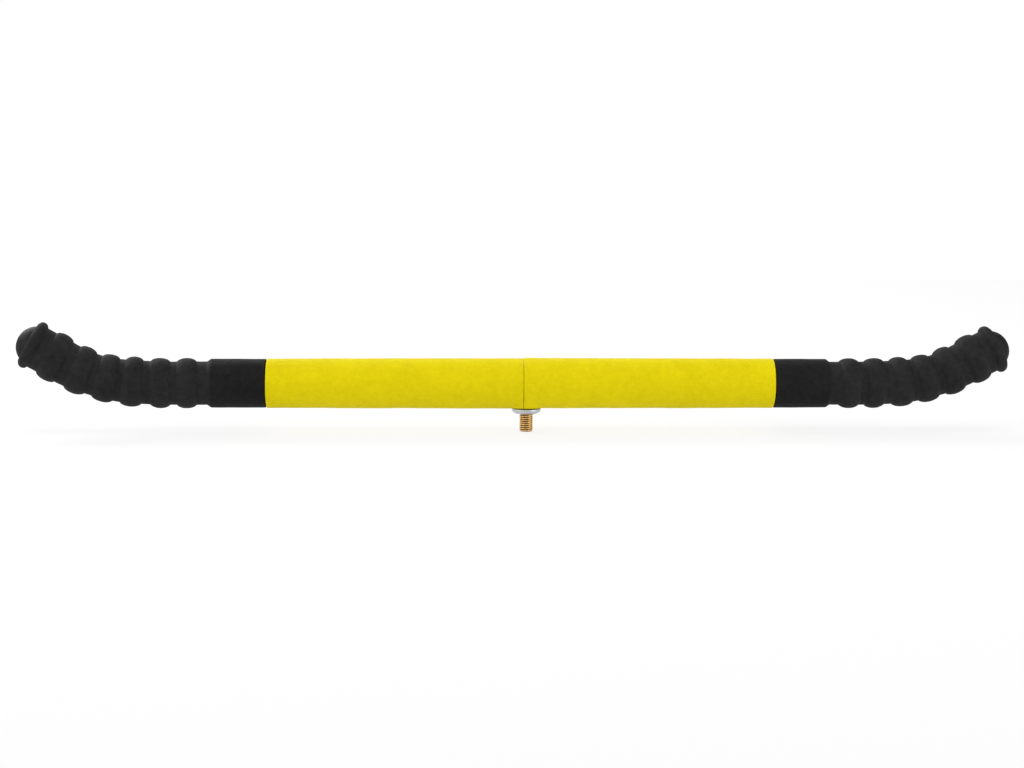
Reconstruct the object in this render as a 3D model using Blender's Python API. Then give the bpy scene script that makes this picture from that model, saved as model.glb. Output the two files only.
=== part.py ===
"""Screw-on T-bar handle: a bent steel tube in foam, held by one threaded stud.

Metres, +Z up.  The origin is on the stud's axis, in the seat plane where the domed
washer meets the machine that the handle is screwed to.  +X runs along the bar, and the
stud points down, -Z.  A place along the bar is a station: the distance from the bar's
middle measured on the tube's centreline, negative on the -X side.
"""

import math

import bmesh
import bpy
from mathutils import Vector

# Fits and mesh quality.
GAP = 0.0003
SEGMENTS = 24
SHARP_ANGLE = math.radians(35)
WELD = 1e-7

# Where the bar lies over the seat plane.
AXIS_HEIGHT = 0.02265
MIDDLE_X = -0.0035

# Core tube: 22.2 x 2.0 mm, both ends turned up, the left one a little further.
TUBE_R = 0.0111
TUBE_BORE_R = 0.0091
TUBE_END = 0.3540
BEND_START = 0.2672
BEND_RADIUS = 0.1410
LEFT_BEND_ANGLE = math.radians(29.0)
RIGHT_BEND_ANGLE = math.radians(26.3)
BEND_STEPS = 8

# Foam sleeves over the middle: slightly crowned, butted beside the stud.
SEAM = 0.0020
SLEEVE_END = 0.1864
SLEEVE_MIDDLE_R = 0.01845
SLEEVE_END_R = 0.0180
SLEEVE_CROWN = 0.0001
FOAM_BORE_R = TUBE_R + GAP
FOAM_EDGE = 0.0004

# Foam grips: a plain length, six ribs and a beaded lip, drawn thinner round the bend.
PLAIN_R = 0.0178
PLAIN_END = 0.2284
STEP_LENGTH = 0.0028
VALLEY_R = 0.0158
RIB_R = 0.0183
RIB_WIDTH = 0.0137
RIB_PITCH = 0.0192
FIRST_RIB = 0.2431
RIB_COUNT = 6
LIP_MIDDLE = 0.3572
LIP_WIDTH = 0.0070
LIP_END = LIP_MIDDLE + LIP_WIDTH / 2
BEAD_POWER = 0.6
BEAD_STEPS = 6
THIN_DEPTH = 0.0006
THIN_MIDDLE = 0.3070
THIN_REACH = 0.0160

# End caps: an oval dome held in the grip's lip, on a ribbed shank inside the tube.
CAP_R = 0.0142
DOME_LENGTH = 0.0130
DOME_BASE = 0.3560
CAP_SEAT = TUBE_END + GAP
CAP_SHANK_R = 0.0078
CAP_FIN_R = TUBE_BORE_R - GAP
CAP_FIN_COUNT = 4
CAP_FIN_PITCH = 0.0045
CAP_FIN_LENGTH = 0.0014
CAP_FIN_BACK = 0.0004
CAP_SHANK_LENGTH = 0.0210
DOME_STEPS = 6

# Saddle washer: flat on top, hollowed below to sit on the tube's crown.
SADDLE_R = 0.0090
SADDLE_THICKNESS = 0.0012
SADDLE_TOP = AXIS_HEIGHT + TUBE_R + GAP + SADDLE_THICKNESS

# Bolt: M10 x 1.5 with a low round head and a square neck.
THREAD_R = 0.00495
ROOT_R = 0.00408
PITCH = 0.0015
STUD_LENGTH = 0.01265
STUD_CHAMFER = 0.0008
THREAD_TOP = 0.0135
SHANK_R = 0.0045
NECK_HALF = 0.0050
NECK_CORNER_R = 0.0068
NECK_BOTTOM = AXIS_HEIGHT + 0.0088
HEAD_UNDERSIDE = SADDLE_TOP + GAP
HEAD_R = 0.0100
HEAD_HEIGHT = 0.0040
HEAD_RIM = 0.0010
HEAD_STEPS = 4
BOLT_HOLE_R = THREAD_R + GAP

# Jam nut: 16 mm across flats, seated on a flat milled under the tube.
SEAT_DEPTH = 0.0008
NUT_CORNER_R = 0.0160 / math.sqrt(3)
NUT_FACE_R = 0.0076
NUT_HEIGHT = 0.0050
NUT_TOP = AXIS_HEIGHT - TUBE_R + SEAT_DEPTH - GAP
NUT_BOTTOM = NUT_TOP - NUT_HEIGHT
NUT_CLEAR_R = NUT_CORNER_R + GAP
NUT_CHAMFER = (NUT_CLEAR_R - NUT_FACE_R) * math.tan(math.radians(30))

# Domed washer, loose on the stud under the foam.
WASHER_R = 0.0106
WASHER_THICKNESS = 0.00435
WASHER_RIM = 0.0013
WASHER_FLAT_R = 0.0072
WASHER_STEPS = 5

# Spacer tube round the bolt inside the core tube.
SPACER_R = 0.0070
SPACER_MITRE_R = 0.0085

# How far a cutter stands past what it cuts.
OVERRUN = 0.0020


# ---------------------------------------------------------------- mesh helpers


def clear_scene():
    for obj in list(bpy.data.objects):
        bpy.data.objects.remove(obj, do_unlink=True)


def material(name, colour, roughness, metallic=0.0):
    mat = bpy.data.materials.new(name)
    mat.use_nodes = True
    shader = mat.node_tree.nodes["Principled BSDF"]
    shader.inputs["Base Color"].default_value = (*colour, 1.0)
    shader.inputs["Roughness"].default_value = roughness
    shader.inputs["Metallic"].default_value = metallic
    return mat


def empty(name, place):
    obj = bpy.data.objects.new(name, None)
    obj.location = place
    bpy.context.collection.objects.link(obj)
    return obj


def add_object(name, bm, mat, parent):
    """One named object from a bmesh, shaded smooth except at real edges."""
    bmesh.ops.remove_doubles(bm, verts=bm.verts, dist=WELD)
    bmesh.ops.dissolve_degenerate(bm, edges=bm.edges, dist=WELD)
    bmesh.ops.recalc_face_normals(bm, faces=bm.faces)
    mesh = bpy.data.meshes.new(name)
    bm.to_mesh(mesh)
    bm.free()
    mesh.shade_smooth()
    mesh.set_sharp_from_angle(angle=SHARP_ANGLE)
    mesh.materials.append(mat)
    obj = bpy.data.objects.new(name, mesh)
    obj.parent = parent
    bpy.context.collection.objects.link(obj)
    return obj


def cutter(name, bm, parent):
    """A guide body for a Boolean, left out of the finished model."""
    obj = add_object(name, bm, material(name, (0.5, 0.5, 0.5), 0.5), parent)
    obj.hide_render = True
    obj.display_type = "WIRE"
    return obj


def boolean(obj, operation, tool):
    mod = obj.modifiers.new(tool.name, "BOOLEAN")
    mod.operation = operation
    mod.solver = "EXACT"
    mod.object = tool


def skin(rings, closed=False):
    """A body through rings of points; a ring of one point is a pole, closed joins last to first."""
    bm = bmesh.new()
    loops = [[bm.verts.new(point) for point in ring] for ring in rings]
    pairs = list(zip(loops, loops[1:]))
    if closed:
        pairs.append((loops[-1], loops[0]))
    for first, second in pairs:
        for i in range(SEGMENTS):
            j = (i + 1) % SEGMENTS
            if len(first) == 1:
                bm.faces.new((first[0], second[i], second[j]))
            elif len(second) == 1:
                bm.faces.new((first[i], second[0], first[j]))
            else:
                bm.faces.new((first[i], second[i], second[j], first[j]))
    return bm


def angles():
    return [2 * math.pi * i / SEGMENTS for i in range(SEGMENTS)]


# ---------------------------------------------------------------- the bar's path


def bend_angle(side):
    return LEFT_BEND_ANGLE if side < 0 else RIGHT_BEND_ANGLE


def path(station):
    """Centre and upward normal of the bar at a station, from the bar's middle."""
    side = math.copysign(1, station)
    along = abs(station)
    bend_end = BEND_START + BEND_RADIUS * bend_angle(side)
    turn = min(max(along - BEND_START, 0) / BEND_RADIUS, bend_angle(side))
    past = max(along - bend_end, 0)
    x = min(along, BEND_START) + BEND_RADIUS * math.sin(turn) + past * math.cos(turn)
    z = BEND_RADIUS * (1 - math.cos(turn)) + past * math.sin(turn)
    centre = Vector((side * x, 0, z))
    normal = Vector((-side * math.sin(turn), 0, math.cos(turn)))
    return centre, normal


def bar_ring(station, radius):
    """The bar's ring of that radius at a station, or its pole where the radius is zero."""
    centre, normal = path(station)
    if radius == 0:
        return [centre]
    across = Vector((0, 1, 0))
    return [centre + radius * (math.cos(a) * normal + math.sin(a) * across) for a in angles()]


def bar_body(profile, closed=True):
    return skin([bar_ring(station, radius) for station, radius in profile], closed)


def mirrored(profile, side):
    return [(side * station, radius) for station, radius in profile]


def bend_stations(side):
    """Stations from the start of that side's bend to its end, all positive."""
    length = BEND_RADIUS * bend_angle(side)
    return [BEND_START + length * i / BEND_STEPS for i in range(BEND_STEPS + 1)]


def core_tube(parent, mat):
    left = [-s for s in bend_stations(-1)]
    stations = [-TUBE_END, *reversed(left), *bend_stations(1), TUBE_END]
    outside = [(s, TUBE_R) for s in stations]
    inside = [(s, TUBE_BORE_R) for s in reversed(stations)]
    return add_object("core_tube", bar_body(outside + inside), mat, parent)


def foam_sleeve(name, side, parent, mat):
    start = SEAM + side * GAP / 2
    end = side * SLEEVE_END
    edge = side * FOAM_EDGE
    profile = [
        (start, FOAM_BORE_R),
        (start, SLEEVE_MIDDLE_R - FOAM_EDGE),
        (start + edge, SLEEVE_MIDDLE_R),
        ((start + end) / 2, (SLEEVE_MIDDLE_R + SLEEVE_END_R) / 2 + SLEEVE_CROWN),
        (end - edge, SLEEVE_END_R),
        (end, SLEEVE_END_R - FOAM_EDGE),
        (end, FOAM_BORE_R),
    ]
    return add_object(name, bar_body(profile), mat, parent)


def thinning(station):
    """How much thinner the foam is drawn at a station near the middle of the bend."""
    return THIN_DEPTH * math.exp(-(((station - THIN_MIDDLE) / THIN_REACH) ** 2))


def bead(middle, width):
    """A rounded bead's outline above the valley, from its inner foot to its outer foot."""
    points = []
    for i in range(BEAD_STEPS + 1):
        across = 2 * i / BEAD_STEPS - 1
        station = middle + across * width / 2
        rise = (RIB_R - VALLEY_R) * max(1 - across * across, 0) ** BEAD_POWER
        points.append((station, VALLEY_R - thinning(station) + rise))
    return points


def dome_radius(station, extra=0.0):
    """The end cap's radius at a station on its dome; extra grows the whole oval."""
    along = (station - DOME_BASE) / (DOME_LENGTH + extra)
    return (CAP_R + extra) * math.sqrt(max(1 - along * along, 0))


def foam_grip(name, side, parent, mat):
    start = SLEEVE_END + GAP
    outside = [(start, PLAIN_R - FOAM_EDGE), (start + FOAM_EDGE, PLAIN_R)]
    outside += [(PLAIN_END - STEP_LENGTH, PLAIN_R), (PLAIN_END, VALLEY_R)]
    for i in range(RIB_COUNT):
        outside += bead(FIRST_RIB + i * RIB_PITCH, RIB_WIDTH)
    outside += bead(LIP_MIDDLE, LIP_WIDTH)
    mouth = [(s, dome_radius(s, GAP)) for s in (LIP_END, (LIP_END + DOME_BASE) / 2, DOME_BASE)]
    pocket = [(TUBE_END, CAP_R + GAP), (TUBE_END, FOAM_BORE_R)]
    bore = [(s, FOAM_BORE_R) for s in reversed(bend_stations(side))]
    profile = outside + mouth + pocket + bore + [(start, FOAM_BORE_R)]
    return add_object(name, bar_body(mirrored(profile, side)), mat, parent)


def end_cap(name, side, parent, mat):
    tip = CAP_SEAT - CAP_SHANK_LENGTH
    profile = [(tip, 0), (tip, CAP_SHANK_R)]
    for i in range(CAP_FIN_COUNT):
        foot = tip + CAP_FIN_LENGTH + i * CAP_FIN_PITCH
        profile += [
            (foot, CAP_SHANK_R),
            (foot + CAP_FIN_LENGTH, CAP_FIN_R),
            (foot + CAP_FIN_LENGTH + CAP_FIN_BACK, CAP_SHANK_R),
        ]
    profile += [(CAP_SEAT, CAP_SHANK_R), (CAP_SEAT, CAP_R)]
    for i in range(DOME_STEPS):
        rise = DOME_LENGTH * math.sin(math.pi / 2 * i / DOME_STEPS)
        profile.append((DOME_BASE + rise, dome_radius(DOME_BASE + rise)))
    profile.append((DOME_BASE + DOME_LENGTH, 0))
    return add_object(name, bar_body(mirrored(profile, side), closed=False), mat, parent)


# ---------------------------------------------------------------- parts on the stud's axis


def level_ring(radius, z):
    """A level ring round the stud's axis, or its pole where the radius is zero."""
    if radius == 0:
        return [Vector((0, 0, z))]
    return [Vector((radius * math.cos(a), radius * math.sin(a), z)) for a in angles()]


def square_ring(half, corner_r, z):
    """A level square ring with its corners cut back to corner_r."""
    points = []
    for a in angles():
        radius = min(half / max(abs(math.cos(a)), abs(math.sin(a))), corner_r)
        points.append(Vector((radius * math.cos(a), radius * math.sin(a), z)))
    return points


def turned(profile, closed=True):
    """A body turned round the stud's axis from (radius, z) points."""
    return skin([level_ring(radius, z) for radius, z in profile], closed)


def thread_point(turn_step, crest):
    """A point on the thread's root or crest line; steps count from one pitch below the end."""
    bottom = -STUD_LENGTH
    z = bottom - PITCH + PITCH * turn_step / SEGMENTS
    if crest:
        z += PITCH / 2
    inside = bottom < z < THREAD_TOP
    z = min(max(z, bottom), THREAD_TOP)
    lead_in = ROOT_R + (z - bottom) * (THREAD_R - ROOT_R) / STUD_CHAMFER
    radius = min(THREAD_R, lead_in) if crest and inside else ROOT_R
    a = 2 * math.pi * turn_step / SEGMENTS
    return Vector((radius * math.cos(a), radius * math.sin(a), z))


def add_thread(bm):
    """The helical thread and the stud's flat end; returns the thread's top ring."""
    turns = math.ceil((THREAD_TOP + STUD_LENGTH) / PITCH) + 1
    steps = turns * SEGMENTS
    root = [bm.verts.new(thread_point(i, False)) for i in range(steps + SEGMENTS + 1)]
    crest = [bm.verts.new(thread_point(i, True)) for i in range(steps + 1)]
    for i in range(steps):
        bm.faces.new((root[i], root[i + 1], crest[i + 1], crest[i]))
        bm.faces.new((crest[i], crest[i + 1], root[i + 1 + SEGMENTS], root[i + SEGMENTS]))
    end = bm.verts.new((0, 0, -STUD_LENGTH))
    for i in range(SEGMENTS):
        bm.faces.new((end, root[i + 1], root[i]))
    return root[steps : steps + SEGMENTS]


def carriage_bolt(parent, mat):
    bm = bmesh.new()
    top_of_thread = add_thread(bm)
    rings = [
        level_ring(SHANK_R, THREAD_TOP + PITCH / 2),
        level_ring(SHANK_R, NECK_BOTTOM),
        square_ring(NECK_HALF, NECK_CORNER_R, NECK_BOTTOM),
        square_ring(NECK_HALF, NECK_CORNER_R, HEAD_UNDERSIDE),
        level_ring(HEAD_R, HEAD_UNDERSIDE),
    ]
    rim_z = HEAD_UNDERSIDE + HEAD_RIM
    for i in range(HEAD_STEPS):
        a = math.pi / 2 * i / HEAD_STEPS
        rings.append(level_ring(HEAD_R * math.cos(a), rim_z + (HEAD_HEIGHT - HEAD_RIM) * math.sin(a)))
    loops = [top_of_thread] + [[bm.verts.new(p) for p in ring] for ring in rings]
    pole = bm.verts.new((0, 0, HEAD_UNDERSIDE + HEAD_HEIGHT))
    for i in range(SEGMENTS):
        j = (i + 1) % SEGMENTS
        for lower, upper in zip(loops, loops[1:]):
            bm.faces.new((lower[i], lower[j], upper[j], upper[i]))
        bm.faces.new((loops[-1][i], loops[-1][j], pole))
    return add_object("carriage_bolt", bm, mat, parent)


def domed_washer(parent, mat):
    profile = [(BOLT_HOLE_R, WASHER_THICKNESS), (WASHER_R, WASHER_THICKNESS)]
    shoulder = WASHER_THICKNESS - WASHER_RIM
    for i in range(WASHER_STEPS + 1):
        a = math.pi / 2 * i / WASHER_STEPS
        radius = WASHER_FLAT_R + (WASHER_R - WASHER_FLAT_R) * math.cos(a)
        profile.append((radius, shoulder * (1 - math.sin(a))))
    profile.append((BOLT_HOLE_R, 0))
    return add_object("domed_washer", turned(profile), mat, parent)


def jam_nut(parent, mat):
    """A thin hexagon nut with a plain bore and chamfered corners, its flats along the bar."""
    prism = []
    for z in (NUT_BOTTOM, NUT_TOP):
        for i in range(6):
            a = math.radians(60 * i)
            prism.append((NUT_CORNER_R * math.cos(a), NUT_CORNER_R * math.sin(a), z))
    bm = bmesh.new()
    verts = [bm.verts.new(point) for point in prism]
    bm.faces.new(reversed(verts[:6]))
    bm.faces.new(verts[6:])
    for i in range(6):
        j = (i + 1) % 6
        bm.faces.new((verts[i], verts[j], verts[6 + j], verts[6 + i]))
    nut = add_object("jam_nut", bm, mat, parent)
    # The faces outside the bore lie in the prism's end planes, so the cones start on them.
    envelope = [
        (BOLT_HOLE_R, NUT_TOP + OVERRUN),
        (NUT_FACE_R, NUT_TOP + OVERRUN),
        (NUT_FACE_R, NUT_TOP),
        (NUT_CLEAR_R, NUT_TOP - NUT_CHAMFER),
        (NUT_CLEAR_R, NUT_BOTTOM + NUT_CHAMFER),
        (NUT_FACE_R, NUT_BOTTOM),
        (NUT_FACE_R, NUT_BOTTOM - OVERRUN),
        (BOLT_HOLE_R, NUT_BOTTOM - OVERRUN),
    ]
    boolean(nut, "INTERSECT", cutter("nut_envelope", turned(envelope), parent))
    return nut


def lying_ring(x, radius):
    """A ring round the tube's own axis, which lies along X above the seat plane."""
    return [Vector((x, radius * math.sin(a), AXIS_HEIGHT + radius * math.cos(a))) for a in angles()]


def lying_rod(half, radius):
    """A solid rod along the tube's axis, as a tool."""
    ends = [[Vector((x, 0, AXIS_HEIGHT))] for x in (-half, half)]
    return skin([ends[0], lying_ring(-half, radius), lying_ring(half, radius), ends[1]])


def saddle_washer(parent, mat):
    """The washer between the bolt's flat head and the tube's round crown."""
    half = NECK_HALF + GAP
    corner = NECK_CORNER_R + GAP
    rings = [
        square_ring(half, corner, AXIS_HEIGHT),
        level_ring(SADDLE_R, AXIS_HEIGHT),
        level_ring(SADDLE_R, SADDLE_TOP),
        square_ring(half, corner, SADDLE_TOP),
    ]
    washer = add_object("saddle_washer", skin(rings, closed=True), mat, parent)
    rod = lying_rod(SADDLE_R + OVERRUN, TUBE_R + GAP)
    boolean(washer, "DIFFERENCE", cutter("saddle_hollow", rod, parent))
    return washer


def spacer_tube(parent, mat):
    """A short tube round the bolt inside the core tube, its ends mitred to the tube's bore."""
    low = AXIS_HEIGHT - TUBE_BORE_R
    high = AXIS_HEIGHT + TUBE_BORE_R
    blank = turned([(BOLT_HOLE_R, low), (SPACER_R, low), (SPACER_R, high), (BOLT_HOLE_R, high)])
    spacer = add_object("spacer_tube", blank, mat, parent)
    rod = lying_rod(SPACER_R + OVERRUN, SPACER_MITRE_R)
    boolean(spacer, "INTERSECT", cutter("spacer_mitre", rod, parent))
    return spacer


def solid_of_rings(rings):
    """A solid through level rings, closed flat at both ends."""
    bottom = Vector((0, 0, rings[0][0].z))
    top = Vector((0, 0, rings[-1][0].z))
    return skin([[bottom], *rings, [top]])


def cut_bolt_holes(tube, parent):
    """A square hole for the neck in the tube's crown, and a round hole with a milled seat below."""
    top = AXIS_HEIGHT + TUBE_R + OVERRUN
    bottom = AXIS_HEIGHT - TUBE_R - OVERRUN
    seat = AXIS_HEIGHT - TUBE_R + SEAT_DEPTH
    half = NECK_HALF + GAP
    corner = NECK_CORNER_R + GAP
    neck = [square_ring(half, corner, AXIS_HEIGHT), square_ring(half, corner, top)]
    shank = [
        level_ring(NUT_CLEAR_R, bottom),
        level_ring(NUT_CLEAR_R, seat),
        level_ring(BOLT_HOLE_R, seat),
        level_ring(BOLT_HOLE_R, AXIS_HEIGHT),
    ]
    boolean(tube, "DIFFERENCE", cutter("neck_hole", solid_of_rings(neck), parent))
    boolean(tube, "DIFFERENCE", cutter("shank_hole", solid_of_rings(shank), parent))


def cut_pockets(sleeves, parent):
    """Room in the foam for the bolt's head above the tube, and below it for the nut and stud."""
    rim_z = HEAD_UNDERSIDE + HEAD_RIM
    dome = HEAD_HEIGHT - HEAD_RIM + GAP
    head = [level_ring(HEAD_R + GAP, AXIS_HEIGHT)]
    for i in range(HEAD_STEPS):
        a = math.pi / 2 * i / HEAD_STEPS
        head.append(level_ring((HEAD_R + GAP) * math.cos(a), rim_z + dome * math.sin(a)))
    head_top = Vector((0, 0, rim_z + dome))
    head_solid = skin([[Vector((0, 0, AXIS_HEIGHT))], *head, [head_top]])
    nut = [
        level_ring(WASHER_R + GAP, -GAP),
        level_ring(WASHER_R + GAP, WASHER_THICKNESS + GAP),
        level_ring(BOLT_HOLE_R, WASHER_THICKNESS + GAP),
        level_ring(BOLT_HOLE_R, NUT_BOTTOM - GAP),
        level_ring(NUT_FACE_R, NUT_BOTTOM - GAP),
        level_ring(NUT_CLEAR_R, NUT_BOTTOM - GAP + NUT_CHAMFER),
        level_ring(NUT_CLEAR_R, AXIS_HEIGHT),
    ]
    head_tool = cutter("head_pocket", head_solid, parent)
    nut_tool = cutter("nut_pocket", solid_of_rings(nut), parent)
    for sleeve in sleeves:
        boolean(sleeve, "DIFFERENCE", head_tool)
        boolean(sleeve, "DIFFERENCE", nut_tool)


# ---------------------------------------------------------------- the assembly


def build():
    clear_scene()
    steel = material("zinc_plated_tube", (0.62, 0.63, 0.65), 0.35, 1.0)
    gold_zinc = material("yellow_zinc", (0.62, 0.40, 0.16), 0.30, 1.0)
    silver_zinc = material("silver_zinc", (0.68, 0.70, 0.74), 0.30, 1.0)
    yellow_foam = material("yellow_foam", (0.68, 0.57, 0.01), 0.85)
    black_foam = material("black_foam", (0.017, 0.017, 0.018), 0.80)
    black_plastic = material("black_plastic", (0.014, 0.014, 0.015), 0.40)

    bar = empty("bar_middle", (MIDDLE_X, 0, AXIS_HEIGHT))
    stud = empty("stud_axis", (0, 0, 0))

    tube = core_tube(bar, steel)
    sleeves = []
    for word, side in (("left", -1), ("right", 1)):
        sleeves.append(foam_sleeve(f"center_sleeve_{word}", side, bar, yellow_foam))
        foam_grip(f"grip_{word}", side, bar, black_foam)
        end_cap(f"end_cap_{word}", side, bar, black_plastic)

    carriage_bolt(stud, gold_zinc)
    domed_washer(stud, silver_zinc)
    jam_nut(stud, silver_zinc)
    saddle_washer(stud, silver_zinc)
    spacer_tube(stud, steel)

    cut_bolt_holes(tube, stud)
    cut_pockets(sleeves, stud)


build()
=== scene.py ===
"""Looks for the screw-on foam handlebar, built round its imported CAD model.

Metres, +Z up, in the CAD's frame: +X along the bar, the stud on the Z axis pointing down.
"""

import math

import bmesh
import bpy
import numpy as np
from mathutils import Matrix, Vector, noise

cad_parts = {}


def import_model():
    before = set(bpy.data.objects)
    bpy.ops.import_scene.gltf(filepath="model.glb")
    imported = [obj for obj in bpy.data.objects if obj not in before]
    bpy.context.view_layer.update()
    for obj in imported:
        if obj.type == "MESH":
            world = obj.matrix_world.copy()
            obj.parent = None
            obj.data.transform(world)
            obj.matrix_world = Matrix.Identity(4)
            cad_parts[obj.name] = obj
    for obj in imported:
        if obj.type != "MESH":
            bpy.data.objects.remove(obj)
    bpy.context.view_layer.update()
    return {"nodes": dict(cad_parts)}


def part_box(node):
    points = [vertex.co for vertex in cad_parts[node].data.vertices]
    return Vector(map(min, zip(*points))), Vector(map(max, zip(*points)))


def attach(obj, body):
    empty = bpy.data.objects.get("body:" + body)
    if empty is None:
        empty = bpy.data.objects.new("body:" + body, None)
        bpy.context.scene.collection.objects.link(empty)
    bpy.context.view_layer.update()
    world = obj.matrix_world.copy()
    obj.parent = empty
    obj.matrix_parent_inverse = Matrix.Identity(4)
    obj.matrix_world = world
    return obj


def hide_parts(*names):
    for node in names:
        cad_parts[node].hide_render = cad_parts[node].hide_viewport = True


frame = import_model()

# ---------------------------------------------------------------- sizes from the frame

TUBE_LOW, TUBE_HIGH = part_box("core_tube")
TUBE_R = (TUBE_HIGH.y - TUBE_LOW.y) / 2
AXIS_HEIGHT = TUBE_LOW.z + TUBE_R
WASHER_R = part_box("domed_washer")[1].x
WASHER_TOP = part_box("domed_washer")[1].z
BOLT_LOW, BOLT_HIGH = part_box("carriage_bolt")
STUD_END = BOLT_LOW.z
HEAD_TOP = BOLT_HIGH.z
HEAD_R = BOLT_HIGH.x
CAP_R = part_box("end_cap_right")[1].y
NUT_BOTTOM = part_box("jam_nut")[0].z
NUT_CORNER_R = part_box("jam_nut")[1].x

# The design's own values, as the CAD has them.
GAP = 0.0003
MIDDLE_X = -0.0035
BEND_START = 0.2672
BEND_RADIUS = 0.1410
LEFT_BEND_ANGLE = math.radians(29.0)
RIGHT_BEND_ANGLE = math.radians(26.3)
TUBE_END = 0.3540
SEAM = 0.0020
SLEEVE_END = 0.1864
SLEEVE_MIDDLE_R = 0.01845
SLEEVE_END_R = 0.0180
FOAM_BORE_R = TUBE_R + GAP
PLAIN_R = 0.0178
PLAIN_END = 0.2284
STEP_LENGTH = 0.0028
VALLEY_R = 0.0158
RIB_R = 0.0183
RIB_WIDTH = 0.0137
RIB_PITCH = 0.0192
FIRST_RIB = 0.2431
LIP_MIDDLE = 0.3572
LIP_WIDTH = 0.0070
BEAD_POWER = 0.6
THIN_DEPTH = 0.0006
THIN_MIDDLE = 0.3070
THIN_REACH = 0.0160
DOME_BASE = 0.3560
DOME_LENGTH = 0.0130
CAP_SEAT = TUBE_END + GAP
CAP_SHANK_R = 0.0078
CAP_FIN_R = 0.0088
CAP_FIN_COUNT = 4
CAP_FIN_PITCH = 0.0045
CAP_FIN_LENGTH = 0.0014
CAP_SHANK_LENGTH = 0.0210
PITCH = 0.0015
THREAD_R = 0.00495
ROOT_R = 0.00408
THREAD_TOP = 0.0135
SHANK_R = 0.0045
NECK_HALF = 0.0050
NECK_CORNER_R = 0.0068
NECK_BOTTOM = AXIS_HEIGHT + 0.0088
HEAD_HEIGHT = 0.0040
HEAD_RIM = 0.0010
HEAD_UNDERSIDE = HEAD_TOP - HEAD_HEIGHT
BOLT_HOLE_R = THREAD_R + GAP
NUT_FACE_R = 0.0076
NUT_CLEAR_R = NUT_CORNER_R + GAP
NUT_CHAMFER = (NUT_CLEAR_R - NUT_FACE_R) * math.tan(math.radians(30))
WASHER_RIM = 0.0013

# The washer's dome, which narrows sooner than the CAD's and ends in a smaller foot.
WASHER_FOOT_R = 0.0058
WASHER_POWER = 1.5
WASHER_EDGE = 0.00025

# The thread: its root and its flank as shares of half a pitch, how much the flank's ends
# are rounded, from 0 to 1, and the slope of the chamfer at the stud's end.
THREAD_ROOT = 0.10
THREAD_FLANK = 0.48
THREAD_EASE = 0.35
THREAD_LEAD = 1.1

# The cap's small edges, and the mark that its mould leaves on its nose.
CAP_TIP_LENGTH = 0.0008
CAP_TIP_STEP = 0.0012
CAP_EDGE = 0.0005
GATE_R = 0.0009
GATE_DEPTH = 0.0004

# What makes hand-fitted foam look real: soft edges, uneven ribs, leaning joints, low lumps,
# the bulge round the bolt, and grips that ride up off the tube's line.
SLEEVE_CROWN_POWER = 1.3
RIB_SHIFTS = (0.0, -0.0002, 0.0004, 0.0, -0.0005, 0.0008)
FOAM_ROUND = 0.0009
SEAM_ROUND = 0.00035
JOINT_TILT = 0.061
JOINT_TILT_REACH = 0.0060
SEAM_STEP = 0.0002
SEAM_STEP_REACH = 0.0500
SEAM_LEAN = 0.075
SEAM_SHIFT = -0.0007
CREASE_DEPTH = 0.0005
BULGE_FULL = 0.0095
BULGE_REACH = 0.0150
BULGE_DROP = 0.9
RELIEF = 0.00013
RELIEF_LUMPS = (0.0120, 0.0350)
GROOVE_DEPTH = 0.00005
NARROW_GROOVE = 0.0011
WIDE_GROOVE = 0.0026
WIDE_GROOVE_ROW = 7
PLAIN_GROOVE_SHARE = 0.25
BEAD_SOFTNESS = 0.0002
LIP_ROLL = 0.0005
LIFT = 0.0005
LIFT_MIDDLE = 0.2770
LIFT_REACH = 0.0140
END_LIFT_START = 0.3200
END_LIFT_REACH = 0.0250

# How finely the meshes are divided.
AROUND = 120
BEND_STEPS = 24
EDGE_STEPS = 7
MOUTH_STEPS = 8
DOME_STEPS = 40
SLEEVE_STEP = 0.0008
GRIP_STEP = 0.0003
THREAD_AROUND = 72
THREAD_ROWS = 14
HEAD_STEPS = 16
WASHER_STEPS = 24
SHARP_ANGLE = math.radians(40)

# The camera and the stage.
CAMERA_YAW = math.radians(5.0)
CAMERA_PITCH = math.radians(7.0)
CAMERA_DISTANCE = 1.648
CAMERA_LEFT = 0.00712
CAMERA_DOWN = 0.00065
CAMERA_LENS = 79.1
FLOOR_HALF = 1.5
FLOOR_GREY = 0.20
FLOOR_GLOW = {"seen": 0.766, "unseen": 0.66}
WORLD_GLOW = {"seen": 1.02, "unseen": 0.20}


class Side:
    """One end of the bar, with how its foam and cap happen to sit."""

    def __init__(self, word, sign, bend, joint_shift, girth, slip, end_lift):
        self.word = word
        self.sign = sign
        self.bend = bend
        self.joint_shift = joint_shift
        self.girth = girth
        self.end_lift = end_lift
        self.lip_middle = LIP_MIDDLE + slip
        self.lip_end = self.lip_middle + LIP_WIDTH / 2
        self.dome_base = DOME_BASE + slip


LEFT = Side(
    word="left",
    sign=-1,
    bend=LEFT_BEND_ANGLE,
    joint_shift=0.0008,
    girth=-0.0001,
    slip=0.0005,
    end_lift=0.0006,
)
RIGHT = Side(
    word="right",
    sign=1,
    bend=RIGHT_BEND_ANGLE,
    joint_shift=0.0,
    girth=0.0002,
    slip=-0.0008,
    end_lift=0.0002,
)


# ---------------------------------------------------------------- mesh helpers


def shade(mesh):
    """Smooth shading that keeps sharp edges sharp."""
    mesh.shade_smooth()
    mesh.set_sharp_from_angle(angle=SHARP_ANGLE)


def new_object(name, mesh, material, node, body="bar"):
    """A finished piece: shaded, with its material, riding on its body in place of its CAD node."""
    mesh.materials.append(material)
    shade(mesh)
    obj = bpy.data.objects.new(name, mesh)
    bpy.context.scene.collection.objects.link(obj)
    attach(obj, body)
    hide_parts(node)
    return obj


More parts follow.
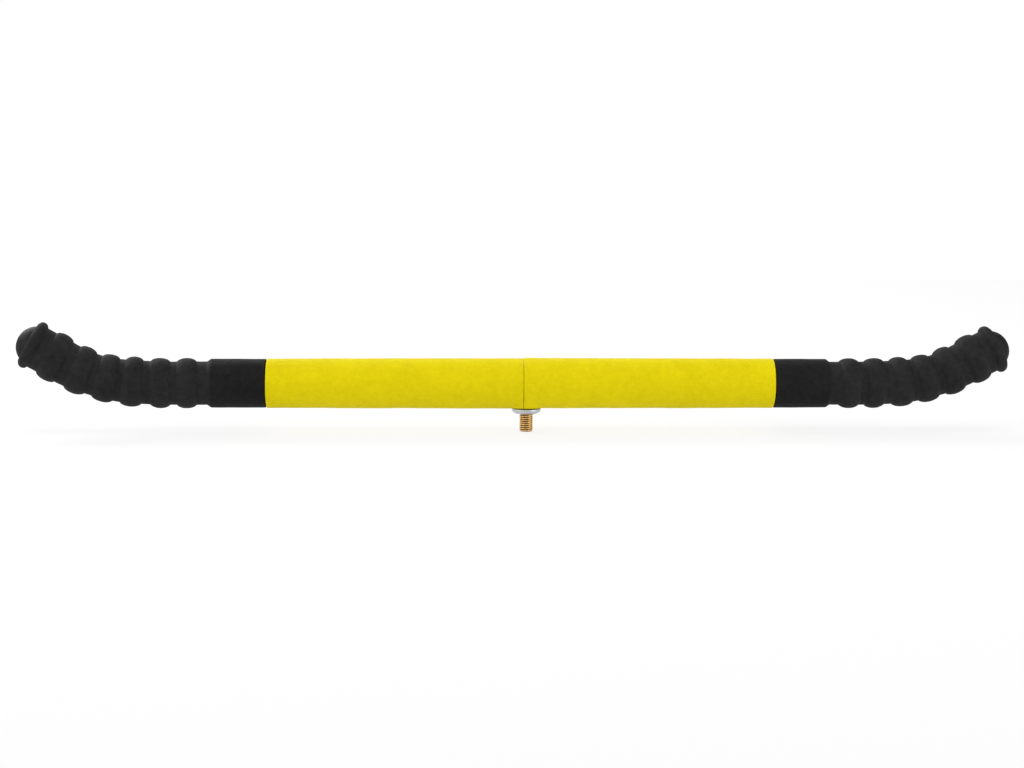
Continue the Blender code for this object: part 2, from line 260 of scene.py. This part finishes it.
def skin_mesh(name, rings, closed):
    """A mesh through rings of equal length.

    A closed one joins its last ring to its first; an open one has each end fanned shut.
    """
    count, around = rings.shape[0], rings.shape[1]
    bm = bmesh.new()
    loops = [[bm.verts.new(p) for p in ring] for ring in rings.tolist()]
    for k in range(count if closed else count - 1):
        first, second = loops[k], loops[(k + 1) % count]
        for i in range(around):
            j = (i + 1) % around
            bm.faces.new((first[i], second[i], second[j], first[j]))
    if not closed:
        for ring in (loops[0], loops[-1]):
            pole = bm.verts.new(sum((v.co for v in ring), Vector()) / around)
            for i in range(around):
                bm.faces.new((ring[i], ring[(i + 1) % around], pole))
    bmesh.ops.remove_doubles(bm, verts=bm.verts, dist=1e-7)
    bmesh.ops.recalc_face_normals(bm, faces=bm.faces)
    mesh = bpy.data.meshes.new(name)
    bm.to_mesh(mesh)
    bm.free()
    return mesh


def boolean_cut(obj, tools):
    """Cuts closed tool meshes out of an object and keeps the result as its plain mesh."""
    helpers = []
    for mesh in tools:
        tool = bpy.data.objects.new("tool", mesh)
        bpy.context.scene.collection.objects.link(tool)
        mod = obj.modifiers.new("cut", "BOOLEAN")
        mod.operation = "DIFFERENCE"
        mod.solver = "EXACT"
        mod.object = tool
        helpers.append(tool)
    graph = bpy.context.evaluated_depsgraph_get()
    cut = bpy.data.meshes.new_from_object(obj.evaluated_get(graph))
    obj.modifiers.clear()
    obj.data = cut
    for tool in helpers:
        bpy.data.objects.remove(tool, do_unlink=True)
    shade(cut)


def circle(around=AROUND):
    """Evenly spaced angles for one turn."""
    return np.arange(around) * 2 * math.pi / around


def eased(share):
    """A share from 0 to 1 that starts and ends gently."""
    return share * share * (3 - 2 * share)


def path(stations):
    """Centres and upward normals of the bar at an array of stations, from the bar's middle."""
    side = np.where(stations < 0, -1.0, 1.0)
    along = np.abs(stations)
    angle = np.where(stations < 0, LEFT_BEND_ANGLE, RIGHT_BEND_ANGLE)
    turn = np.clip((along - BEND_START) / BEND_RADIUS, 0, angle)
    past = np.maximum(along - BEND_START - BEND_RADIUS * angle, 0)
    x = np.minimum(along, BEND_START) + BEND_RADIUS * np.sin(turn) + past * np.cos(turn)
    z = BEND_RADIUS * (1 - np.cos(turn)) + past * np.sin(turn)
    nothing = np.zeros_like(x)
    centres = np.stack([MIDDLE_X + side * x, nothing, AXIS_HEIGHT + z], axis=1)
    normals = np.stack([-side * np.sin(turn), nothing, np.cos(turn)], axis=1)
    return centres, normals


def bar_rings(stations, radii):
    """Rings round the bar; radii has one value a station, or one for each point of each ring."""
    centres, normals = path(stations)
    radii = radii if radii.ndim == 2 else np.repeat(radii[:, None], AROUND, axis=1)
    a = circle()
    up = normals[:, None, :] * np.cos(a)[None, :, None]
    across = np.array([0.0, 1.0, 0.0])[None, None, :] * np.sin(a)[None, :, None]
    return centres[:, None, :] + radii[:, :, None] * (up + across)


def level_ring(radius, z, a):
    """A level ring round the stud's axis; radius is one value, or one for each angle."""
    return np.stack([radius * np.cos(a), radius * np.sin(a), np.full(len(a), z)], axis=1)


def level_rings(profile):
    """Level rings round the stud's axis from (radius, z) points."""
    a = circle()
    return np.array([level_ring(radius, z, a) for radius, z in profile])


def wobble(rings, size, depth):
    """Smooth uneven relief for rings of points: a depth for each point, both in metres."""
    flat = [noise.noise(Vector(p) / size) for p in rings.reshape(-1, 3).tolist()]
    return depth * np.array(flat).reshape(rings.shape[:2])


def foam_relief(rings, stations):
    """Low uneven relief of ground foam, pointing straight out from the bar's axis."""
    centres, _ = path(stations)
    out = rings - centres[:, None, :]
    out /= np.linalg.norm(out, axis=2, keepdims=True)
    fine, broad = (wobble(rings, size, RELIEF) for size in RELIEF_LUMPS)
    return out * (fine + broad)[:, :, None]


def smoothed(values, step, width):
    """Values evenly spaced by step, run through a bell-shaped average of that width."""
    reach = max(int(3 * width / step), 1)
    weights = np.exp(-0.5 * (np.arange(-reach, reach + 1) * step / width) ** 2)
    longer = np.concatenate([np.full(reach, values[0]), values, np.full(reach, values[-1])])
    return np.convolve(longer, weights / weights.sum(), mode="valid")


def rounded_off(from_end, size):
    """How far a soft edge falls away, by the distance from the foam's cut end."""
    inward = np.clip(1 - from_end / size, 0, 1)
    return size * (1 - np.sqrt(1 - inward**2))


def tilt_joint(rings, stations, side):
    """Leans the joint between sleeve and grip, which was cut a little out of square."""
    near = np.exp(-(((np.abs(stations) - SLEEVE_END) / JOINT_TILT_REACH) ** 2))
    rings[:, :, 0] += near[:, None] * (JOINT_TILT * rings[:, :, 1] + side.joint_shift)


def end_lift(stations, side):
    """How far the end of a grip and its cap sit above the tube's own line."""
    share = np.clip((np.abs(stations) - END_LIFT_START) / END_LIFT_REACH, 0, 1)
    return side.end_lift * eased(share)


def bell(stations, middle, reach):
    """1 at the middle station, falling away smoothly on both sides of it."""
    return np.exp(-(((stations - middle) / reach) ** 2))


# ---------------------------------------------------------------- materials


class Nodes:
    """A short way to write one material's node tree."""

    def __init__(self, name):
        self.material = bpy.data.materials.new(name)
        self.material.use_nodes = True
        self.tree = self.material.node_tree
        self.shader = self.tree.nodes["Principled BSDF"]

    def add(self, kind, **sockets):
        node = self.tree.nodes.new(kind)
        for key, value in sockets.items():
            self.put(node.inputs[key.replace("_", " ")], value)
        return node

    def put(self, socket, value):
        if isinstance(value, bpy.types.NodeSocket):
            self.tree.links.new(value, socket)
        else:
            socket.default_value = value

    def place(self):
        """Where a point is on its own object, in metres."""
        return self.add("ShaderNodeTexCoord").outputs["Object"]

    def noise(self, where, size, detail=4.0, rough=0.55):
        """Noise whose lumps are about size metres across."""
        node = self.add("ShaderNodeTexNoise", Scale=1 / size, Detail=detail, Roughness=rough)
        self.put(node.inputs["Vector"], where)
        return node.outputs["Fac"]

    def cells(self, where, size):
        """Distance to the middle of the nearest of many cells about size metres across."""
        node = self.add("ShaderNodeTexVoronoi", Scale=1 / size)
        self.put(node.inputs["Vector"], where)
        return node.outputs["Distance"]

    def remap(self, value, low, high, to_low=0.0, to_high=1.0):
        """Maps low to to_low and high to to_high, and holds values that lie beyond them."""
        node = self.add("ShaderNodeMapRange")
        for key, number in (("Value", value), ("From Min", low), ("From Max", high)):
            self.put(node.inputs[key], number)
        self.put(node.inputs["To Min"], to_low)
        self.put(node.inputs["To Max"], to_high)
        return node.outputs["Result"]

    def math(self, operation, first, second):
        node = self.add("ShaderNodeMath")
        node.operation = operation
        self.put(node.inputs[0], first)
        self.put(node.inputs[1], second)
        return node.outputs["Value"]

    def past_step(self, where):
        """0 on the bar's plain middle, rising to 1 where the grips' ribs begin, on either side."""
        x = self.add("ShaderNodeSeparateXYZ")
        self.put(x.inputs["Vector"], where)
        from_middle = self.math("ABSOLUTE", self.math("SUBTRACT", x.outputs["X"], MIDDLE_X), 0.0)
        return self.remap(from_middle, PLAIN_END - STEP_LENGTH, PLAIN_END)

    def stretched(self, where, scale):
        """A place whose pattern is drawn out along the axes with a low scale."""
        node = self.add("ShaderNodeMapping")
        self.put(node.inputs["Vector"], where)
        node.inputs["Scale"].default_value = scale
        return node.outputs["Vector"]

    def blend(self, amount, first, second):
        """From the first colour at 0 to the second at 1."""
        node = self.add("ShaderNodeMix")
        node.data_type = "RGBA"
        self.put(node.inputs["Factor"], amount)
        self.put(node.inputs["A"], (*first, 1.0) if isinstance(first, tuple) else first)
        self.put(node.inputs["B"], (*second, 1.0) if isinstance(second, tuple) else second)
        return node.outputs["Result"]

    def bump(self, height, depth, below=None):
        """Relief of that depth in metres, over an earlier relief if there is one."""
        node = self.add("ShaderNodeBump", Strength=1.0, Distance=depth)
        self.put(node.inputs["Height"], height)
        if below is not None:
            self.put(node.inputs["Normal"], below)
        return node.outputs["Normal"]

    def finish(self, colour, roughness, normal, **constants):
        self.put(self.shader.inputs["Base Color"], colour)
        self.put(self.shader.inputs["Roughness"], roughness)
        self.put(self.shader.inputs["Normal"], normal)
        for key, value in constants.items():
            self.shader.inputs[key.replace("_", " ")].default_value = value
        return self.material


def foam(name, dark, light, roughness, pore, specular, ground=1.0):
    """Closed-cell foam: fine open pores over soft lumps, with a mottled colour.

    Past the grips' step, where the foam is ground to ribs, its colour is ground times as pale.
    """
    n = Nodes(name)
    where = n.place()
    blotch = n.noise(where, size=0.0220, detail=3.0)
    mottle = n.noise(where, size=0.0045, detail=5.0)
    grain = n.noise(where, size=0.0009, detail=3.0)
    pores = n.cells(where, pore)
    tone = n.math("ADD", n.math("MULTIPLY", mottle, 0.35), n.math("MULTIPLY", grain, 0.35))
    tone = n.math("ADD", tone, n.math("MULTIPLY", blotch, 0.30))
    share = n.remap(tone, 0.38, 0.62)
    colour = n.blend(share, dark, light)
    if ground != 1.0:
        paler = n.blend(share, tuple(c * ground for c in dark), tuple(c * ground for c in light))
        colour = n.blend(n.past_step(where), colour, paler)
    pits = n.remap(pores, 0.05, 0.45)
    soft = n.bump(mottle, depth=0.00035)
    fine = n.bump(grain, depth=0.00020, below=soft)
    relief = n.bump(pits, depth=0.00007, below=fine)
    rough = n.remap(grain, 0.3, 0.7, roughness - 0.06, roughness + 0.06)
    return n.finish(colour, rough, relief, Specular_IOR_Level=specular)


def moulded_plastic():
    """Satin black polyethylene with a fine eroded texture and faint scuffs."""
    n = Nodes("cap_plastic")
    where = n.place()
    texture = n.noise(where, size=0.0006, detail=3.0)
    along = n.stretched(where, (1.0, 0.25, 1.0))
    scuffs = n.noise(along, size=0.0020, detail=8.0, rough=0.7)
    colour = n.blend(n.remap(scuffs, 0.4, 0.7), (0.010, 0.010, 0.011), (0.019, 0.019, 0.020))
    rough = n.remap(scuffs, 0.35, 0.7, 0.52, 0.64)
    relief = n.bump(texture, depth=0.00003)
    return n.finish(colour, rough, relief, Specular_IOR_Level=0.12)


def plated_steel(name, tint, stain, roughness, lathe):
    """Steel with faint stains over the fine lines of a turned or drawn surface."""
    n = Nodes(name)
    where = n.place()
    cloud = n.noise(where, size=0.0035, detail=6.0, rough=0.6)
    grain = n.noise(where, size=0.0005, detail=2.0)
    lines = n.noise(n.stretched(where, lathe), size=0.0006, detail=2.0)
    colour = n.blend(n.remap(cloud, 0.38, 0.62), tint, stain)
    rough = n.remap(grain, 0.3, 0.7, roughness - 0.07, roughness + 0.09)
    relief = n.bump(lines, depth=0.00002, below=n.bump(grain, depth=0.00001))
    return n.finish(colour, rough, relief, Metallic=1.0)


def plated_thread():
    """Yellow-passivated zinc, with painted shade that darkens the thread's roots; the crests keep the
    plated tint.
    """
    n = Nodes("yellow_zinc")
    where = n.place()
    cloud = n.noise(where, size=0.0030, detail=6.0, rough=0.6)
    flat = n.add("ShaderNodeVectorMath")
    flat.operation = "MULTIPLY"
    n.put(flat.inputs[0], where)
    flat.inputs[1].default_value = (1.0, 1.0, 0.0)
    length = n.add("ShaderNodeVectorMath")
    length.operation = "LENGTH"
    n.put(length.inputs[0], flat.outputs["Vector"])
    edge = 0.0001
    out_of_root_shade = n.remap(length.outputs["Value"], ROOT_R + edge, THREAD_R - edge)
    tint = n.blend(n.remap(cloud, 0.4, 0.6), (0.86, 0.58, 0.22), (0.80, 0.48, 0.19))
    # Painted shade: colour runs from dark brown in the thread's roots to the plated tint on its
    # crests.
    colour = n.blend(out_of_root_shade, (0.22, 0.10, 0.025), tint)
    rough = n.remap(out_of_root_shade, 0.0, 1.0, 0.50, 0.26)
    return n.finish(colour, rough, n.bump(cloud, depth=0.00002), Metallic=1.0)


YELLOW_FOAM = foam(
    "yellow_foam",
    dark=(0.645, 0.530, 0.001),
    light=(0.755, 0.625, 0.003),
    roughness=0.62,
    pore=0.00055,
    specular=0.05,
)
BLACK_FOAM = foam(
    "black_foam",
    dark=(0.0062, 0.0062, 0.0062),
    light=(0.0134, 0.0134, 0.0134),
    roughness=0.70,
    pore=0.0006,
    specular=0.09,
    ground=1.7,
)
CAP_PLASTIC = moulded_plastic()
YELLOW_ZINC = plated_thread()
BRIGHT_ZINC = plated_steel(
    "bright_zinc",
    tint=(0.62, 0.64, 0.68),
    stain=(0.50, 0.52, 0.58),
    roughness=0.34,
    lathe=(1.0, 1.0, 3.0),
)
TUBE_STEEL = plated_steel(
    "drawn_tube",
    tint=(0.50, 0.51, 0.53),
    stain=(0.40, 0.40, 0.41),
    roughness=0.38,
    lathe=(0.02, 1.0, 1.0),
)


# ---------------------------------------------------------------- middle sleeves


def head_dome(room=0.0):
    """The (radius, z) points of the bolt's round head, from its rim up, with some room round it."""
    points = []
    for t in np.linspace(0, math.pi / 2, HEAD_STEPS)[:-1]:
        z = HEAD_UNDERSIDE + HEAD_RIM + (HEAD_HEIGHT - HEAD_RIM + room) * math.sin(t)
        points.append(((HEAD_R + room) * math.cos(t), z))
    return points


def pockets():
    """Room for the bolt's head above the tube, and below it for the nut, stud and washer."""
    head = [(HEAD_R + GAP, AXIS_HEIGHT)] + head_dome(GAP)
    below = [
        (WASHER_R + GAP, -GAP),
        (WASHER_R + GAP, WASHER_TOP + GAP / 2),
        (BOLT_HOLE_R, WASHER_TOP + GAP / 2),
        (BOLT_HOLE_R, NUT_BOTTOM - GAP),
        (NUT_FACE_R, NUT_BOTTOM - GAP),
        (NUT_CLEAR_R, NUT_BOTTOM - GAP + NUT_CHAMFER),
        (NUT_CLEAR_R, AXIS_HEIGHT),
    ]
    return [
        skin_mesh("head", level_rings(head), closed=False),
        skin_mesh("below", level_rings(below), closed=False),
    ]


def edge_steps(size):
    """Distances from a cut end that follow its rounded edge."""
    return size * (1 - np.cos(np.linspace(0, math.pi / 2, EDGE_STEPS)))


def bulge_to_washer(rings):
    """Soft foam that bulges down round the bolt, almost to the top of the washer."""
    from_stud = np.hypot(rings[:, :, 0], rings[:, :, 1])
    share = np.clip((BULGE_REACH - from_stud) / (BULGE_REACH - BULGE_FULL), 0, 1)
    share = eased(share) * (rings[:, :, 2] < AXIS_HEIGHT)
    drop = np.maximum(rings[:, :, 2] - WASHER_TOP - GAP, 0)
    rings[:, :, 2] -= BULGE_DROP * share * drop


def sleeve(side):
    """A yellow foam tube: crowned, with soft edges and a seam that isn't quite square."""
    start = SEAM + side.sign * GAP / 2
    length = abs(side.sign * SLEEVE_END - start)
    middle = np.arange(FOAM_ROUND + SLEEVE_STEP, length - FOAM_ROUND, SLEEVE_STEP)
    far = (length - edge_steps(FOAM_ROUND))[::-1]
    from_seam = np.concatenate([edge_steps(SEAM_ROUND), middle, far])
    stations = start + side.sign * from_seam
    share = from_seam / length
    radii = SLEEVE_MIDDLE_R + (SLEEVE_END_R - SLEEVE_MIDDLE_R) * share**SLEEVE_CROWN_POWER
    radii = radii + side.girth * share
    radii = radii - rounded_off(from_seam, SEAM_ROUND) - rounded_off(length - from_seam, FOAM_ROUND)
    all_stations = np.concatenate([stations, [side.sign * SLEEVE_END, start]])
    rings = bar_rings(all_stations, np.concatenate([radii, [FOAM_BORE_R, FOAM_BORE_R]]))

    outer = len(stations)
    rings[:outer] += foam_relief(rings[:outer], stations)
    tilt_joint(rings, all_stations, side)
    # The seam leans too, and the two halves don't line up perfectly.
    near = np.exp(-np.abs(all_stations - SEAM) / JOINT_TILT_REACH)
    rings[:, :, 0] += near[:, None] * (SEAM_LEAN * rings[:, :, 1] + SEAM_SHIFT)
    rings[:outer, :, 2] += side.sign * SEAM_STEP * np.exp(-from_seam / SEAM_STEP_REACH)[:, None]
    bulge_to_washer(rings[:outer])

    name = f"center_foam_{side.word}"
    node = f"center_sleeve_{side.word}"
    mesh = skin_mesh(name, rings, closed=True)
    obj = new_object(name, mesh, YELLOW_FOAM, node)
    boolean_cut(obj, pockets())


# ---------------------------------------------------------------- grips


def bead_rise(stations, middle, width):
    """How high a bead stands at each station, from 0 at its feet to 1."""
    across = np.abs(stations - middle) / (width / 2)
    return np.clip(1 - across**2, 0, 1) ** BEAD_POWER


def into_step(stations):
    """How far each station is down the grip's step: 0 at its top, 1 at its foot."""
    return (stations - PLAIN_END + STEP_LENGTH) / STEP_LENGTH


def grooves(stations):
    """The fine rings that grinding leaves round the foam, deeper past the step."""
    depth = GROOVE_DEPTH * np.clip(into_step(stations), PLAIN_GROOVE_SHARE, 1)
    narrow = [noise.noise(Vector((s / NARROW_GROOVE, 0, 0))) for s in stations]
    wide = [noise.noise(Vector((s / WIDE_GROOVE, WIDE_GROOVE_ROW, 0))) for s in stations]
    return depth * (np.array(narrow) + np.array(wide))


def grip_outline(stations, side):
    """The grip's outer radius: plain length, chamfered step, ribs and beaded lip."""
    radii = PLAIN_R + (VALLEY_R - PLAIN_R) * np.clip(into_step(stations), 0, 1)
    radii -= THIN_DEPTH * bell(stations, THIN_MIDDLE, THIN_REACH)
    height = RIB_R - VALLEY_R
    for i, shift in enumerate(RIB_SHIFTS):
        radii += height * bead_rise(stations, FIRST_RIB + i * RIB_PITCH + shift, RIB_WIDTH)
    radii += height * bead_rise(stations, side.lip_middle, LIP_WIDTH)
    radii = smoothed(radii, GRIP_STEP, BEAD_SOFTNESS) + grooves(stations) + side.girth
    return radii - rounded_off(stations - SLEEVE_END - GAP, FOAM_ROUND)


def dome_radii(stations, base, room=0.0):
    """The cap's dome, which is half an ellipse from its base, with some room round it."""
    along = (stations - base) / (DOME_LENGTH + room)
    return (CAP_R + room) * np.sqrt(np.clip(1 - along**2, 0, 1))


def grip(side):
    """A black foam grip, ground to ribs, whose lip wraps the cap's edge."""
    start = SLEEVE_END + GAP
    stations = np.linspace(start, side.lip_end, int((side.lip_end - start) / GRIP_STEP) + 1)
    radii = grip_outline(stations, side)
    # On the inside of the bend the foam is pressed together, and sits a little lower.
    crease = bell(stations, THIN_MIDDLE, THIN_REACH)[:, None] * np.clip(np.cos(circle()), 0, 1)
    outline = radii[:, None] - CREASE_DEPTH * crease
    mouth = np.linspace(side.lip_end, DOME_BASE, MOUTH_STEPS)
    mouth_radii = dome_radii(mouth, side.dome_base, GAP)
    roll = np.linspace(0.1, 0.9, EDGE_STEPS)
    roll_stations = side.lip_end + LIP_ROLL * np.sin(roll * math.pi)
    roll_radii = radii[-1] + (mouth_radii[0] - radii[-1]) * roll
    bend = np.linspace(BEND_START + BEND_RADIUS * side.bend, BEND_START, BEND_STEPS)
    inside = np.concatenate([[TUBE_END, TUBE_END], bend, [start]])
    inside_radii = np.concatenate([[CAP_R + GAP], np.full(len(inside) - 1, FOAM_BORE_R)])
    rest = np.concatenate([roll_radii, mouth_radii, inside_radii])
    all_stations = side.sign * np.concatenate([stations, roll_stations, mouth, inside])
    all_radii = np.concatenate([outline, np.repeat(rest[:, None], AROUND, axis=1)])
    rings = bar_rings(all_stations, all_radii)
    outer = len(stations)
    rings[:outer] += foam_relief(rings[:outer], side.sign * stations)
    # It rides up a little where the bend begins, and again with the cap at its end.
    rings[:outer, :, 2] += LIFT * bell(stations, LIFT_MIDDLE, LIFT_REACH)[:, None]
    lift = end_lift(all_stations, side)
    # The bore stays on the tube.
    lift[1 - len(inside) :] = 0
    rings[:, :, 2] += lift[:, None]
    tilt_joint(rings, all_stations, side)
    name = f"grip_foam_{side.word}"
    mesh = skin_mesh(name, rings, closed=True)
    obj = new_object(name, mesh, BLACK_FOAM, f"grip_{side.word}")


def end_cap(side):
    """A domed polyethylene cap with a finned shank, and a small gate mark on its nose."""
    tip = CAP_SEAT - CAP_SHANK_LENGTH
    points = [(tip, CAP_SHANK_R - CAP_TIP_STEP), (tip + CAP_TIP_LENGTH, CAP_SHANK_R)]
    for i in range(CAP_FIN_COUNT):
        foot = tip + CAP_FIN_LENGTH + i * CAP_FIN_PITCH
        # Each fin ramps up from its foot, then drops back to the shank.
        points += [
            (foot, CAP_SHANK_R),
            (foot + CAP_FIN_LENGTH * 0.9, CAP_FIN_R),
            (foot + CAP_FIN_LENGTH, CAP_FIN_R),
            (foot + CAP_FIN_LENGTH * 1.2, CAP_SHANK_R + 0.0002),
            (foot + CAP_FIN_LENGTH * 1.4, CAP_SHANK_R),
        ]
    points.append((CAP_SEAT, CAP_SHANK_R))
    shank = len(points)
    points += [(CAP_SEAT, CAP_R - CAP_EDGE), (CAP_SEAT + CAP_EDGE, CAP_R)]
    dome = side.dome_base + DOME_LENGTH * np.sin(np.linspace(0, math.pi / 2, DOME_STEPS))
    points += [(s, r) for s, r in zip(dome, dome_radii(dome, side.dome_base)) if r > GATE_R]
    nose = side.dome_base + DOME_LENGTH
    points += [(nose - GATE_DEPTH / 4, GATE_R), (nose - GATE_DEPTH, GATE_R * 0.8)]
    table = np.array(points)
    rings = bar_rings(side.sign * table[:, 0], table[:, 1])
    lift = end_lift(table[:, 0], side)
    # The shank stays in the middle of the tube.
    lift[:shank] = 0
    rings[:, :, 2] += lift[:, None]
    name = f"dome_{side.word}"
    mesh = skin_mesh(name, rings, closed=False)
    new_object(name, mesh, CAP_PLASTIC, f"end_cap_{side.word}")


# ---------------------------------------------------------------- stud and washer


def thread_radius(z, a):
    """An M10 coarse thread's radius: flat crests, round roots and a chamfered end."""
    turn = (z / PITCH - a / (2 * math.pi)) % 1.0
    slope = 1 - np.abs(2 * turn - 1)
    rise = np.clip((slope - THREAD_ROOT) / THREAD_FLANK, 0, 1)
    rise = eased(rise) * THREAD_EASE + rise * (1 - THREAD_EASE)
    lead = ROOT_R + (z - STUD_END) * THREAD_LEAD
    return np.minimum(ROOT_R + (THREAD_R - ROOT_R) * rise, lead)


def bolt():
    """The bolt: real helical thread, square neck and low round head."""
    a = circle(THREAD_AROUND)
    rows = []
    for z in np.arange(STUD_END, THREAD_TOP, PITCH / THREAD_ROWS):
        rows.append(level_ring(thread_radius(z, a), z, a))
    for z in (THREAD_TOP + PITCH / 2, NECK_BOTTOM):
        rows.append(level_ring(SHANK_R, z, a))
    square = NECK_HALF / np.maximum(np.abs(np.cos(a)), np.abs(np.sin(a)))
    for z in (NECK_BOTTOM, HEAD_UNDERSIDE):
        rows.append(level_ring(np.minimum(square, NECK_CORNER_R), z, a))
    for radius, z in [(HEAD_R, HEAD_UNDERSIDE)] + head_dome():
        rows.append(level_ring(radius, z, a))
    mesh = skin_mesh("threaded_stud", np.array(rows), closed=False)
    new_object("threaded_stud", mesh, YELLOW_ZINC, "carriage_bolt")


def washer():
    """The washer: flat top, short rim and a domed underside with broken edges."""
    edge = WASHER_EDGE
    profile = [(BOLT_HOLE_R, WASHER_TOP - edge), (BOLT_HOLE_R + edge, WASHER_TOP)]
    profile += [(WASHER_R - edge, WASHER_TOP), (WASHER_R, WASHER_TOP - edge)]
    shoulder = WASHER_TOP - WASHER_RIM
    for t in np.linspace(0, math.pi / 2, WASHER_STEPS):
        radius = WASHER_FOOT_R + (WASHER_R - WASHER_FOOT_R) * math.cos(t) ** WASHER_POWER
        profile.append((radius, shoulder * (1 - math.sin(t))))
    profile += [(BOLT_HOLE_R + edge, 0.0), (BOLT_HOLE_R, edge)]
    mesh = skin_mesh("zinc_washer", level_rings(profile), closed=True)
    new_object("zinc_washer", mesh, BRIGHT_ZINC, "domed_washer", "loose_washer")


# ---------------------------------------------------------------- the stage


def look_from(place, target):
    """The turn of a camera or lamp at a place, so that it faces the target with its top up."""
    return (target - place).to_track_quat("-Z", "Y").to_matrix().to_4x4()


def softbox(name, azimuth, elevation, distance, size, watts):
    """An area light aimed at the bar; azimuth 0 is straight in front of it, positive to the right."""
    a = math.radians(azimuth)
    e = math.radians(elevation)
    back = Vector((math.sin(a) * math.cos(e), -math.cos(a) * math.cos(e), math.sin(e)))
    data = bpy.data.lights.new(name, "AREA")
    data.shape = "RECTANGLE"
    data.size, data.size_y = size
    data.energy = watts
    obj = bpy.data.objects.new(name, data)
    bpy.context.scene.collection.objects.link(obj)
    target = Vector((MIDDLE_X, 0, AXIS_HEIGHT))
    place = target + back * distance
    obj.matrix_world = Matrix.Translation(place) @ look_from(place, target)


def camera_rays(tree, seen, unseen):
    """One strength for what the camera sees directly, and another for the light that it casts."""
    ray = tree.nodes.new("ShaderNodeLightPath")
    mix = tree.nodes.new("ShaderNodeMix")
    tree.links.new(ray.outputs["Is Camera Ray"], mix.inputs["Factor"])
    mix.inputs["A"].default_value = unseen
    mix.inputs["B"].default_value = seen
    return mix.outputs["Result"]


def floor():
    """A plain pale light table that is clear from below."""
    bm = bmesh.new()
    bmesh.ops.create_grid(bm, x_segments=1, y_segments=1, size=FLOOR_HALF)
    bmesh.ops.translate(bm, verts=bm.verts, vec=(0, 0, STUD_END))
    mesh = bpy.data.meshes.new("floor")
    bm.to_mesh(mesh)
    bm.free()
    obj = bpy.data.objects.new("floor", mesh)
    bpy.context.scene.collection.objects.link(obj)
    n = Nodes("pale_floor")
    n.put(n.shader.inputs["Base Color"], (FLOOR_GREY, FLOOR_GREY, FLOOR_GREY, 1.0))
    n.put(n.shader.inputs["Roughness"], 0.9)
    n.put(n.shader.inputs["Specular IOR Level"], 0.0)
    n.put(n.shader.inputs["Emission Color"], (1.0, 1.0, 1.0, 1.0))
    n.put(n.shader.inputs["Emission Strength"], camera_rays(n.tree, **FLOOR_GLOW))
    clear = n.add("ShaderNodeBsdfTransparent")
    side = n.add("ShaderNodeNewGeometry")
    mix = n.add("ShaderNodeMixShader")
    n.put(mix.inputs["Fac"], side.outputs["Backfacing"])
    n.put(mix.inputs[1], n.shader.outputs["BSDF"])
    n.put(mix.inputs[2], clear.outputs["BSDF"])
    n.put(n.tree.nodes["Material Output"].inputs["Surface"], mix.outputs["Shader"])
    mesh.materials.append(n.material)


def world():
    """White where the camera sees it, and a dimmer, even light on the object."""
    made = bpy.data.worlds.new("studio")
    bpy.context.scene.world = made
    made.use_nodes = True
    tree = made.node_tree
    sky = tree.nodes["Background"]
    sky.inputs["Color"].default_value = (1.0, 1.0, 1.0, 1.0)
    tree.links.new(camera_rays(tree, **WORLD_GLOW), sky.inputs["Strength"])


def camera():
    """A long lens a little above the bar, turned so that the left end is a little nearer."""
    # Rolled just enough to keep the bar level in the picture.
    roll = math.atan(math.tan(CAMERA_YAW) * math.sin(CAMERA_PITCH))
    forward = Vector((math.sin(CAMERA_YAW), math.cos(CAMERA_YAW), 0))
    right = Vector((math.cos(CAMERA_YAW), -math.sin(CAMERA_YAW), 0))
    up = Vector((0, 0, 1))
    ahead = forward * math.cos(CAMERA_PITCH) - up * math.sin(CAMERA_PITCH)
    middle = Vector((MIDDLE_X, 0, AXIS_HEIGHT))
    place = middle - ahead * CAMERA_DISTANCE - right * CAMERA_LEFT - up * CAMERA_DOWN
    data = bpy.data.cameras.new("camera")
    data.sensor_width = 36.0
    data.lens = CAMERA_LENS
    data.clip_end = 50.0
    obj = bpy.data.objects.new("camera", data)
    bpy.context.scene.collection.objects.link(obj)
    turn = look_from(place, place + ahead) @ Matrix.Rotation(roll, 4, "Z")
    obj.matrix_world = Matrix.Translation(place) @ turn
    bpy.context.scene.camera = obj


def stage():
    """The floor, the world, the camera and five soft lights."""
    floor()
    world()
    camera()
    softbox("side", azimuth=-66, elevation=20, distance=4.0, size=(2.2, 2.2), watts=88)
    softbox("fill", azimuth=55, elevation=10, distance=3.0, size=(2.4, 2.0), watts=62)
    softbox("top", azimuth=0, elevation=86, distance=1.8, size=(1.8, 1.2), watts=15)
    softbox("back", azimuth=180, elevation=32, distance=2.6, size=(3.0, 1.4), watts=18)
    softbox("back_left", azimuth=-140, elevation=35, distance=2.6, size=(1.6, 1.4), watts=42)
    bpy.context.scene.view_settings.view_transform = "Standard"


# ---------------------------------------------------------------- the object

for side in (LEFT, RIGHT):
    sleeve(side)
    grip(side)
    end_cap(side)
bolt()
washer()
for node, material in (
    ("core_tube", TUBE_STEEL),
    ("spacer_tube", TUBE_STEEL),
    ("jam_nut", BRIGHT_ZINC),
    ("saddle_washer", BRIGHT_ZINC),
):
    frame["nodes"][node].data.materials.clear()
    frame["nodes"][node].data.materials.append(material)

stage()
